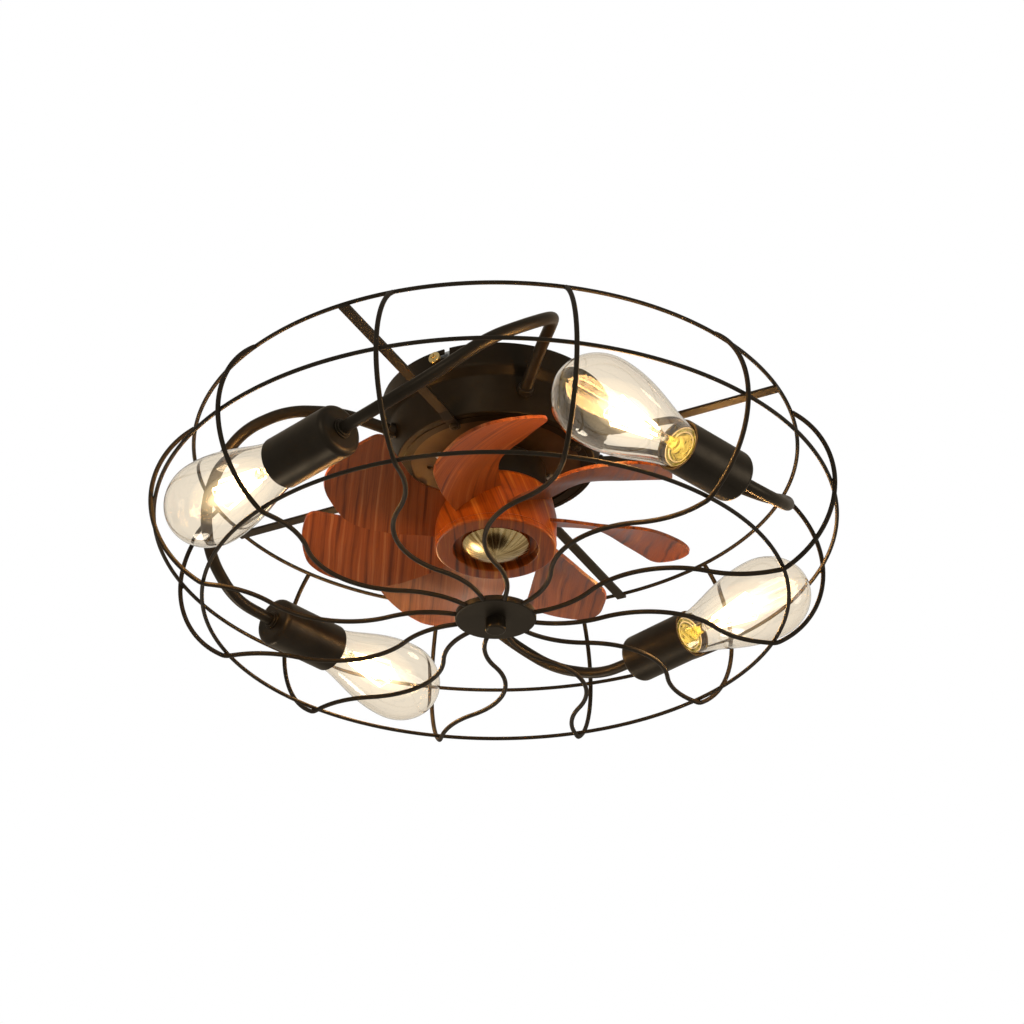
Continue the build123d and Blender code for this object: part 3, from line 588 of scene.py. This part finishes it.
def eased(points, radius, column):
    """Smooth value of a blade edge at a radius: a cubic through its points, straight beyond them."""
    if radius <= points[0][0]:
        (r0, *v0), (r1, *v1) = points[0], points[1]
    elif radius >= points[-1][0]:
        (r0, *v0), (r1, *v1) = points[-2], points[-1]
    else:
        index = next(i for i in range(len(points) - 1) if points[i][0] <= radius <= points[i + 1][0])
        before, after = points[max(index - 1, 0)], points[min(index + 2, len(points) - 1)]
        knots = [before, points[index], points[index + 1], after]
        r = [k[0] for k in knots]
        v = [k[column] for k in knots]
        t = (radius - r[1]) / (r[2] - r[1])
        start = (v[2] - v[0]) / (r[2] - r[0]) * (r[2] - r[1])
        end = (v[3] - v[1]) / (r[3] - r[1]) * (r[2] - r[1])
        return (
            v[1] * (2 * t**3 - 3 * t**2 + 1) + start * (t**3 - 2 * t**2 + t)
            + v[2] * (3 * t**2 - 2 * t**3) + end * (t**3 - t**2)
        )
    part = (radius - r0) / (r1 - r0)
    return v0[column - 1] + (v1[column - 1] - v0[column - 1]) * part


def plan_spline(points, steps):
    """Smooth plan curve through (radius, azimuth) points."""
    knots = [polar(r, az).to_2d() for r, az, _ in points]
    ends = [knots[0] * 2 - knots[1]] + knots + [knots[-1] * 2 - knots[-2]]
    made = []
    for i in range(1, len(ends) - 2):
        for step in range(steps):
            t = step / steps
            a, b, c, d = ends[i - 1], ends[i], ends[i + 1], ends[i + 2]
            made.append(
                (b * 2 + (c - a) * t + (a * 2 - b * 5 + c * 4 - d) * t**2
                 + (b * 3 - a - c * 3 + d) * t**3) / 2
            )
    made.append(knots[-1])
    return made


def arc_points(a, m, b, steps):
    """Points on the circle through three plan points, from a to b."""
    d = 2 * (a.x * (m.y - b.y) + m.x * (b.y - a.y) + b.x * (a.y - m.y))
    aa, mm, bb = a.length_squared, m.length_squared, b.length_squared
    ux = (aa * (m.y - b.y) + mm * (b.y - a.y) + bb * (a.y - m.y)) / d
    uy = (aa * (b.x - m.x) + mm * (a.x - b.x) + bb * (m.x - a.x)) / d
    centre = Vector((ux, uy))
    radius = (a - centre).length
    start, end = (math.atan2(*reversed(p - centre)) for p in (a, b))
    sweep = (end - start + math.pi) % math.tau - math.pi
    return [
        centre + Vector((math.cos(start + sweep * s / steps), math.sin(start + sweep * s / steps))) * radius
        for s in range(steps + 1)
    ]


def soften(path, corner, reach, steps):
    """Rounds the corner of a plan path at an index, over a length along both sides."""
    at = path[corner]
    first = next(i for i in range(corner, -1, -1) if (path[i] - at).length >= reach)
    last = next(i for i in range(corner, len(path)) if (path[i] - at).length >= reach)
    a, b = path[first], path[last]
    p1, p2 = a + (at - a) * CORNER_PULL, b + (at - b) * CORNER_PULL
    bend = []
    for step in range(1, steps):
        t = step / steps
        bend.append(a * (1 - t) ** 3 + p1 * 3 * t * (1 - t) ** 2 + p2 * 3 * t * t * (1 - t) + b * t**3)
    return path[: first + 1] + bend + path[last:]


def even(path, count):
    """The same path as evenly spaced points."""
    total = [0.0]
    for a, b in zip(path, path[1:]):
        total.append(total[-1] + (b - a).length)
    made, index = [], 0
    for step in range(count + 1):
        want = total[-1] * step / count
        while index < len(path) - 2 and total[index + 1] < want:
            index += 1
        span = total[index + 1] - total[index]
        made.append(path[index].lerp(path[index + 1], (want - total[index]) / span if span else 0.0))
    return made


def blade_height(point):
    """Z of the twisted sheet over a plan point of the first blade."""
    radius = point.length
    azimuth = math.degrees(math.atan2(point.y, point.x))
    low_az, high_az = eased(LOW_EDGE, radius, 1), eased(HIGH_EDGE, radius, 1)
    low_z, high_z = eased(LOW_EDGE, radius, 2), eased(HIGH_EDGE, radius, 2)
    across = (azimuth - low_az) / (high_az - low_az)
    across = min(max(across, -0.15), 1.15)
    return low_z + (high_z - low_z) * across


def blade_outline():
    """The two sides of the first blade's plan outline, as evenly spaced points from the root to the tip."""
    low = plan_spline(LOW_EDGE, 14)
    high = plan_spline(HIGH_EDGE, 14)
    tip_at = polar(BLADE_TIP_R, TIP_MID_AZ).to_2d()
    tip = arc_points(low[-1], tip_at, high[-1], 30)
    whole = low + tip[1:-1] + list(reversed(high))
    whole = soften(whole, len(low) - 1, TIP_CORNER_R * 0.9, 12)
    point = min(range(len(whole)), key=lambda i: (whole[i] - high[-1]).length)
    whole = soften(whole, point, TIP_POINT_R * 1.4, 7)
    top = min(range(len(whole)), key=lambda i: (whole[i] - tip_at).length)
    return even(whole[: top + 1], BLADE_ROWS), even(list(reversed(whole[top:])), BLADE_ROWS)


def blade_mesh(name):
    """The first blade as a fine quad grid on the twisted sheet, closed by a fan of triangles at the tip."""
    left, right = blade_outline()
    points, faces = [], []
    for row in range(BLADE_ROWS):
        for column in range(BLADE_COLUMNS + 1):
            flat = left[row].lerp(right[row], column / BLADE_COLUMNS)
            if row == 0:
                flat = flat.normalized() * (HUB_R - HUB_WALL)
            points.append((flat.x, flat.y, blade_height(flat)))
    points.append((left[-1].x, left[-1].y, blade_height(left[-1])))
    width = BLADE_COLUMNS + 1
    last = (BLADE_ROWS - 1) * width
    for row in range(BLADE_ROWS - 1):
        for column in range(BLADE_COLUMNS):
            a = row * width + column
            faces.append((a, a + 1, a + width + 1, a + width))
    for column in range(BLADE_COLUMNS):
        faces.append((last + column, last + column + 1, len(points) - 1))
    return new_mesh(name, points, faces)


def build_blade(index):
    """One swept blade: the sheet turned to its place, given a grain map and thickness, with rounded edges."""
    mesh = blade_mesh(f"blade_wood_{index}")
    turn = Matrix.Rotation(math.radians(BLADE_FIRST_AZ + (index - 1) * 360.0 / BLADE_COUNT), 4, "Z")
    mesh.transform(turn)
    if index == 1:
        back = turn.inverted()

        def place(x, y, z):
            p = back @ Vector((x, y, z))
            radius = p.to_2d().length
            bent = math.atan2(p.y, p.x) - 9.0 * max(radius - 0.045, 0.0) ** 1.3
            return radius * bent + 0.02, radius

        grain_map(mesh, place)
    else:
        shift = 0.013 * index
        grain_map(mesh, lambda x, y, z: (x + 0.10 * y + shift, y - 0.10 * x + z + shift))
    obj = piece(f"blade_wood_{index}", mesh, "rotor", "blade_wood", [f"blade_{index}"])
    thick = obj.modifiers.new("thick", "SOLIDIFY")
    thick.thickness = BLADE_THICK * MM
    thick.offset = 0.0
    thick.use_even_offset = True
    soft = obj.modifiers.new("soft", "BEVEL")
    soft.width = 0.9 * MM
    soft.segments = 3
    soft.limit_method = "ANGLE"
    soft.angle_limit = math.radians(50)
    soft.harden_normals = True


build_hub()
build_dome()
for number in range(1, BLADE_COUNT + 1):
    build_blade(number)


# ------------------------------------------------------------ cage: rings, ribs and their welds


def walk(start, heading, moves):
    """Plan path of straight runs (length, 0) and arcs (radius, signed degrees), as evenly fine points."""
    at, way = Vector(start), math.radians(heading)
    path = [at.copy()]
    for size, turn in moves:
        if not turn:
            steps = max(int(size / 6.0), 1)
            for step in range(1, steps + 1):
                path.append(at + Vector((math.cos(way), math.sin(way))) * size * step / steps)
            at = path[-1].copy()
            continue
        sweep, sign = math.radians(turn), 1.0 if turn > 0 else -1.0
        centre = at + Vector((-math.sin(way), math.cos(way))) * size * sign
        steps = max(int(abs(sweep) * size / 3.0), 4)
        arm = at - centre
        for step in range(1, steps + 1):
            part = sweep * step / steps
            cos, sin = math.cos(part), math.sin(part)
            path.append(centre + Vector((arm.x * cos - arm.y * sin, arm.x * sin + arm.y * cos)))
        at, way = path[-1].copy(), way + sweep
    return path, way


def rib_path():
    """Centreline of the rib at azimuth 0: the side arc, the knee and the wave, as 3-D points."""
    top = math.radians(RIB_ARC_TOP)
    start = (RIB_ARC_CENTRE[0] + RIB_ARC_R * math.cos(top), RIB_ARC_CENTRE[1] + RIB_ARC_R * math.sin(top))
    knee = -(90.0 + RIB_ARC_END - BASE_SLOPE)
    side, way = walk(start, RIB_ARC_TOP - 90.0, [(RIB_ARC_R, RIB_ARC_END - RIB_ARC_TOP), (RIB_KNEE_R, knee)])
    corner = side[-1]
    bend = 2.0 * math.degrees(math.atan2(WAVE_OFFSET, WAVE_HALF))
    bend_r = WAVE_HALF / (2.0 * math.sin(math.radians(bend)))
    lead_in = corner.x - (WAVE_PEAK_R + WAVE_HALF)
    waves, _ = walk((0.0, 0.0), 0.0, [(lead_in, 0), (bend_r, bend), (bend_r, -2.0 * bend), (bend_r, bend)])
    waves.append(Vector((corner.x - DISC_R + WELD, 0.0)))
    path = [Vector((p.x, 0.0, p.y)) for p in side]
    inward = Vector((math.cos(way), 0.0, math.sin(way)))
    path += [Vector((corner.x, 0.0, corner.y)) + inward * p.x - Vector((0.0, p.y, 0.0)) for p in waves[1:]]
    return path


def weld_bead(at, along, size, rng):
    """A small uneven bead of weld metal, stretched along the crevice."""
    points, faces = [], []
    z = along.normalized()
    x = z.orthogonal().normalized()
    y = z.cross(x)
    rows, sides = 6, 10
    for row in range(rows + 1):
        angle = math.pi * row / rows
        for step in range(sides):
            turn = math.tau * step / sides
            r = size * math.sin(angle) * rng.uniform(0.86, 1.08)
            rise = z * size * 1.5 * -math.cos(angle)
            points.append(at + (x * math.cos(turn) + y * math.sin(turn)) * r + rise)
    for row in range(rows):
        for step in range(sides):
            after = (step + 1) % sides
            low, high = row * sides, (row + 1) * sides
            faces.append((low + step, low + after, high + after, high + step))
    mesh = new_mesh("bead", points, faces)
    work = bmesh.new()
    work.from_mesh(mesh)
    bmesh.ops.remove_doubles(work, verts=work.verts, dist=0.02 * MM)
    work.to_mesh(mesh)
    work.free()
    return mesh


def build_cage():
    """Smooth wire: rings and ribs as fine swept tubes, with beads where they are welded."""
    for name, radius, z in RINGS:
        sides = [math.tau * step / 20 for step in range(20)]
        profile = [(radius + RING_WIRE_R * math.cos(a), z + RING_WIRE_R * math.sin(a)) for a in sides]
        ring = lathe("ring", profile, 384, closed=True)
        piece(name.replace("cage_", "wire_"), ring, "housing", "dark_bronze", [name], finish="wire_bronze")
    path = rib_path()
    ribs, beads = [], []
    rng = random.Random(7)
    for index in range(RIB_COUNT):
        azimuth = math.radians(RIB_FIRST_AZ + index * 360.0 / RIB_COUNT)
        spin = Matrix.Rotation(azimuth, 3, "Z")
        ribs.append(rod("rib", [spin @ p for p in path], RIB_WIRE_R, 18))
        for _, radius, z in RINGS:
            near = min(path, key=lambda p: (Vector((p.to_2d().length, p.z)) - Vector((radius, z))).length)
            angle = math.atan2(near.y, near.x)
            ring_at = Vector((radius * math.cos(angle), radius * math.sin(angle), z))
            gap = ring_at - near
            touch = near + gap * (RIB_WIRE_R / (RIB_WIRE_R + RING_WIRE_R))
            along = Vector((-math.sin(angle), math.cos(angle), 0.0))
            beads.append(weld_bead(spin @ touch, spin @ along, 1.15, rng))
        beads.append(weld_bead(spin @ path[-1], spin @ Vector((0.0, 1.0, 0.0)), 1.5, rng))
    piece("wire_ribs", joined("ribs", ribs), "housing", "dark_bronze", ["cage_ribs"], finish="wire_bronze")
    piece("weld_beads", joined("beads", beads), "housing", "dark_bronze", finish="wire_bronze")


build_cage()


# ------------------------------------------------------------ lamps


def lamp_matrix(turn):
    """From lamp coordinates, Z along the lamp from the back of its cup, to the frame."""
    heading = polar(1.0, LAMP_HEADING)
    side = Vector((0, 0, 1)).cross(heading).normalized()
    up = heading.cross(side)
    place = Matrix((side, up, heading)).transposed().to_4x4()
    place.translation = Vector(LAMP_BACK) * MM
    return Matrix.Rotation(math.radians(turn), 4, "Z") @ place


def glass_profile(shrink):
    """The bulb's outline from its neck to its nose, moved in by the glass wall for the inner face."""
    run = BULB_WIDEST - NECK_END
    wide, deep = BULB_R - shrink, BULB_END - BULB_WIDEST - shrink
    neck = [(BASE_R - shrink, BASE_END), (NECK_R - shrink - 0.6, NECK_END - 2.4)]
    if not shrink:
        neck += [(NECK_R + 0.1, NECK_END - 1.6), (NECK_R + 0.35, NECK_END - 0.6)]
        neck += [(NECK_R + 0.1, NECK_END + 0.5)]
    start = (NECK_R - shrink - 0.2, NECK_END + 1.6)
    side = bezier(
        start, (NECK_R + 1.5 - shrink, NECK_END + run * 0.3),
        (BULB_R - shrink, BULB_WIDEST - run * 0.42), (BULB_R - shrink, BULB_WIDEST), 30,
    )
    cap = bezier(
        (wide, BULB_WIDEST), (wide, BULB_WIDEST + ROUND * deep), (ROUND * wide, BULB_WIDEST + deep),
        (0.0, BULB_WIDEST + deep), 22,
    )
    return neck + [start] + side + cap


def build_stem(index, place):
    """The glass stem: a ridged flare, a pinch where the filaments start and a thin post to their ends."""
    flare = [(0.0, BASE_END + 0.6), (11.0, BASE_END + 0.6), (10.6, BASE_END + 1.8)]
    for step in range(7):
        z = BASE_END + 2.5 + step * 1.9
        r = 10.0 - 6.4 * (step / 6) ** 0.6
        flare += [(r + 0.45, z), (r, z + 0.95)]
    flare += [
        (STEM_R, BASE_END + 17), (STEM_R, STEM_END - 9), (STEM_R + 1.4, STEM_END - 6),
        (STEM_R + 1.7, STEM_END - 3), (STEM_R + 0.8, STEM_END - 0.5), (1.5, STEM_END + 3),
        (1.2, STEM_END + 22), (1.2, STEM_END + 41), (0.6, STEM_END + 42), (0.0, STEM_END + 42),
    ]
    piece(f"stem_{index}", lathe("stem", flare, 40), "housing", "stem_glass", ["bulb_stems"], place)


def build_filaments(index, place):
    """The ring of leaning filaments, and the fine wires that hold both ends of each."""
    lean = math.radians(FILAMENT_LEAN)
    rods, wires = [], []
    for step in range(FILAMENTS):
        angle = math.tau * step / FILAMENTS
        out = Vector((math.cos(angle), math.sin(angle), 0.0))
        foot = out * FILAMENT_RING_R + Vector((0, 0, STEM_END - 2))
        along = (out * math.sin(lean) + Vector((0, 0, math.cos(lean)))).normalized()
        end = foot + along * FILAMENT_LENGTH
        rods.append(rod("rod", [foot.lerp(end, s / 8) for s in range(9)], FILAMENT_R, 12))
        hook = Vector((0, 0, STEM_END + 41.5)) + out * 1.0
        sag = (end + hook) / 2 + Vector((0, 0, 2.2))
        wires.append(rod("wire", [end, end + along * 1.5 - out * 0.6, sag, hook], SUPPORT_WIRE_R, 6))
        root = Vector((0, 0, STEM_END - 6)) + out * 2.2
        wires.append(rod("wire", [root, (root + foot) / 2 + out * 0.5, foot], SUPPORT_WIRE_R, 6))
    bundle = joined("filament", rods)
    piece(f"filament_{index}", bundle, "housing", "filament_glow", ["bulb_filaments"], place)
    piece(f"support_wires_{index}", joined("wires", wires), "housing", "zinc_steel", [], place)


def build_seat(index, place):
    """The hammered disc that shows through the glass at the bulb's neck, and the two pale rims on it."""
    rng = random.Random(40 + index)
    seat = [(0.0, SEAT_Z), (9.0, SEAT_Z)]
    for step in range(5):
        r = 10.2 + step * 0.9
        seat += [(r, 56.9 + 0.25 * (step % 2)), (r + 0.45, 56.3)]
    seat += [(SEAT_R - 0.4, 57.6), (SEAT_R, 57.6), (SEAT_R, 55.6), (0.0, 55.0)]

    def hammered(angle, r, z):
        return 0.12 * math.sin(9 * angle + r) + 0.10 * rng.uniform(-1, 1) if 1 < r < 15 else 0.0

    mesh = sharpen(lathe("seat", seat, 48, wobble=hammered))
    piece(f"bulb_seat_{index}", mesh, "housing", "lamp_brass", [], place, "seat_gold")
    sides = [math.tau * s / 12 for s in range(12)]
    rims = []
    for r in RIM_RADII:
        ring = [(r + RIM_WIRE_R * math.cos(a), RIM_Z + RIM_WIRE_R * math.sin(a)) for a in sides]
        rims.append(lathe("rim", ring, 64, closed=True))
    piece(f"seat_rims_{index}", joined("rims", rims), "housing", "lamp_brass", [], place, "rim_pale")


def build_gland(index, place):
    """The stepped ring where the arm enters the back of the cup."""
    corners = [(4.55, -0.2), (7.2, -0.2), (7.2, -1.4), (6.0, -1.4), (6.0, -2.9), (4.55, -2.9)]
    mesh = sharpen(lathe("gland", rounded(corners, {2: 0.7, 4: 0.8}, 4), 40, closed=True))
    piece(f"cup_gland_{index}", mesh, "housing", "dark_bronze", [], place)


def build_lamp(index, turn):
    """One bulb with what shows inside it, and the gland behind its cup."""
    place = lamp_matrix(turn)
    outer, inner = glass_profile(0.0), glass_profile(GLASS_WALL)
    mesh = lathe("glass", outer + list(reversed(inner)), 96, closed=True)
    piece(f"glass_{index}", mesh, "housing", "bulb_glass", [f"bulb_glass_{index}"], place)
    build_stem(index, place)
    build_filaments(index, place)
    build_seat(index, place)
    build_gland(index, place)


for number, turn in enumerate(LAMP_TURNS, 1):
    build_lamp(number, turn)


# ------------------------------------------------------------ camera, floor and light


def build_camera():
    """The fitted camera: in front of the fan, with a fine pan, tilt and roll added to its pitch."""
    data = bpy.data.cameras.new("camera")
    data.lens = CAMERA_LENS
    data.sensor_width = 36.0
    data.clip_start, data.clip_end = 0.05, 200.0
    cam = bpy.data.objects.new("camera", data)
    bpy.context.scene.collection.objects.link(cam)
    degrees = (CAMERA_PITCH, CAMERA_PAN, CAMERA_TILT, CAMERA_ROLL)
    pitch, pan, tilt, roll = (math.radians(a) for a in degrees)
    forward = Vector((0, math.cos(pitch), math.sin(pitch)))
    over = Vector((0, -math.sin(pitch), math.cos(pitch)))
    aim = (forward + math.tan(pan) * Vector((1, 0, 0)) + math.tan(tilt) * over).normalized()
    level = aim.cross(Vector((0, 0, 1))).normalized()
    top = level.cross(aim)
    right = math.cos(roll) * level + math.sin(roll) * top
    up = -math.sin(roll) * level + math.cos(roll) * top
    cam.matrix_world = Matrix.Translation(CAMERA_AT) @ Matrix((right, up, -aim)).transposed().to_4x4()
    bpy.context.scene.camera = cam


def build_floor():
    """The studio floor, far below the fan."""
    m = Material("floor")
    at = m.coords()
    colour = m.ramp(m.noise(at, 3.0, 3.0), [(0.3, (0.86, 0.86, 0.855)), (0.7, (0.90, 0.90, 0.895))])
    paint = m.principled(Base_Color=colour, Roughness=0.85, Specular_IOR_Level=0.2)
    lift = m.add("ShaderNodeEmission")
    path = m.tree.nodes.new("ShaderNodeLightPath")
    m.put(lift, "Strength", m.maths("MULTIPLY", path.outputs["Is Camera Ray"], FLOOR_LIFT))
    both = m.tree.nodes.new("ShaderNodeAddShader")
    m.tree.links.new(paint.outputs[0], both.inputs[0])
    m.tree.links.new(lift.outputs[0], both.inputs[1])
    m.tree.links.new(both.outputs[0], m.out.inputs["Surface"])
    mesh = lathe("floor", [(r, FLOOR_Z) for r in (0.0, *FLOOR_RADII)], 96)
    obj = bpy.data.objects.new("floor", mesh)
    bpy.context.scene.collection.objects.link(obj)
    mesh.materials.append(m.mat)


def add_light(name, kind, at, energy, colour, size, aim=None):
    """A light of one kind, turned towards aim where one is given."""
    data = bpy.data.lights.new(name, kind)
    data.energy = energy
    data.color = colour
    if kind == "AREA":
        data.shape = "DISK"
        data.size = size
    else:
        data.shadow_soft_size = size
    obj = bpy.data.objects.new(name, data)
    obj.location = at
    if aim is not None:
        obj.rotation_mode = "QUATERNION"
        obj.rotation_quaternion = (Vector(aim) - Vector(at)).to_track_quat("-Z", "Y")
    bpy.context.scene.collection.objects.link(obj)
    return obj


def build_world():
    """A white studio round the object, and dimmer light from it than the eye sees, as on a lit sweep."""
    world = bpy.data.worlds.new("studio")
    bpy.context.scene.world = world
    world.use_nodes = True
    tree = world.node_tree
    seen = tree.nodes["Background"]
    seen.inputs["Color"].default_value = (1.0, 1.0, 1.0, 1.0)
    seen.inputs["Strength"].default_value = 1.0
    fill = tree.nodes.new("ShaderNodeBackground")
    fill.inputs["Color"].default_value = (1.0, 0.985, 0.965, 1.0)
    fill.inputs["Strength"].default_value = STUDIO_FILL
    path = tree.nodes.new("ShaderNodeLightPath")
    either = tree.nodes.new("ShaderNodeMath")
    either.operation = "MAXIMUM"
    tree.links.new(path.outputs["Is Camera Ray"], either.inputs[0])
    tree.links.new(path.outputs["Is Transmission Ray"], either.inputs[1])
    mix = tree.nodes.new("ShaderNodeMixShader")
    tree.links.new(either.outputs[0], mix.inputs[0])
    tree.links.new(fill.outputs[0], mix.inputs[1])
    tree.links.new(seen.outputs[0], mix.inputs[2])
    tree.links.new(mix.outputs[0], tree.nodes["World Output"].inputs["Surface"])


def build_glow(index, turn):
    """Soft light round the filaments: nested clouds that only glow, no part of the object."""
    for layer, (wide, long, strength) in enumerate(GLOW_LAYERS):
        m = Material(f"glow_{layer}")
        light = m.add("ShaderNodeEmission", Strength=strength)
        light.inputs["Color"].default_value = (*GLOW_COLOUR, 1.0)
        m.tree.links.new(light.outputs[0], m.out.inputs["Volume"])
        profile = []
        for step in range(25):
            angle = math.pi * step / 24
            profile.append((wide * math.sin(angle) if 0 < step < 24 else 0.0, -long * math.cos(angle)))
        mesh = lathe("glow", profile, 48)
        mesh.transform(lamp_matrix(turn) @ Matrix.Translation((0, 0, GLOW_CENTRE * MM)))
        mesh.materials.append(m.mat)
        obj = bpy.data.objects.new(f"glow_{index}_{layer}", mesh)
        bpy.context.scene.collection.objects.link(obj)
        obj.visible_glossy = False
        obj.visible_diffuse = False


build_camera()
build_floor()
build_world()
for number, turn in enumerate(LAMP_TURNS, 1):
    spot = lamp_matrix(turn) @ (Vector((0, 0, LAMP_LIGHT_Z)) * MM)
    lamp = add_light(f"lamp_light_{number}", "POINT", spot, LAMP_WATTS, WARM, LAMP_LIGHT_R)
    lamp.visible_transmission = False
    build_glow(number, turn)
for name, at, watts, colour, size in AREA_LIGHTS:
    panel = add_light(name, "AREA", at, watts, colour, size, AIM)
    panel.visible_camera = False

scene = bpy.context.scene
scene.view_settings.view_transform = "Standard"
scene.view_settings.look = "None"
scene.view_settings.exposure = 0.0
scene.view_settings.gamma = 1.0
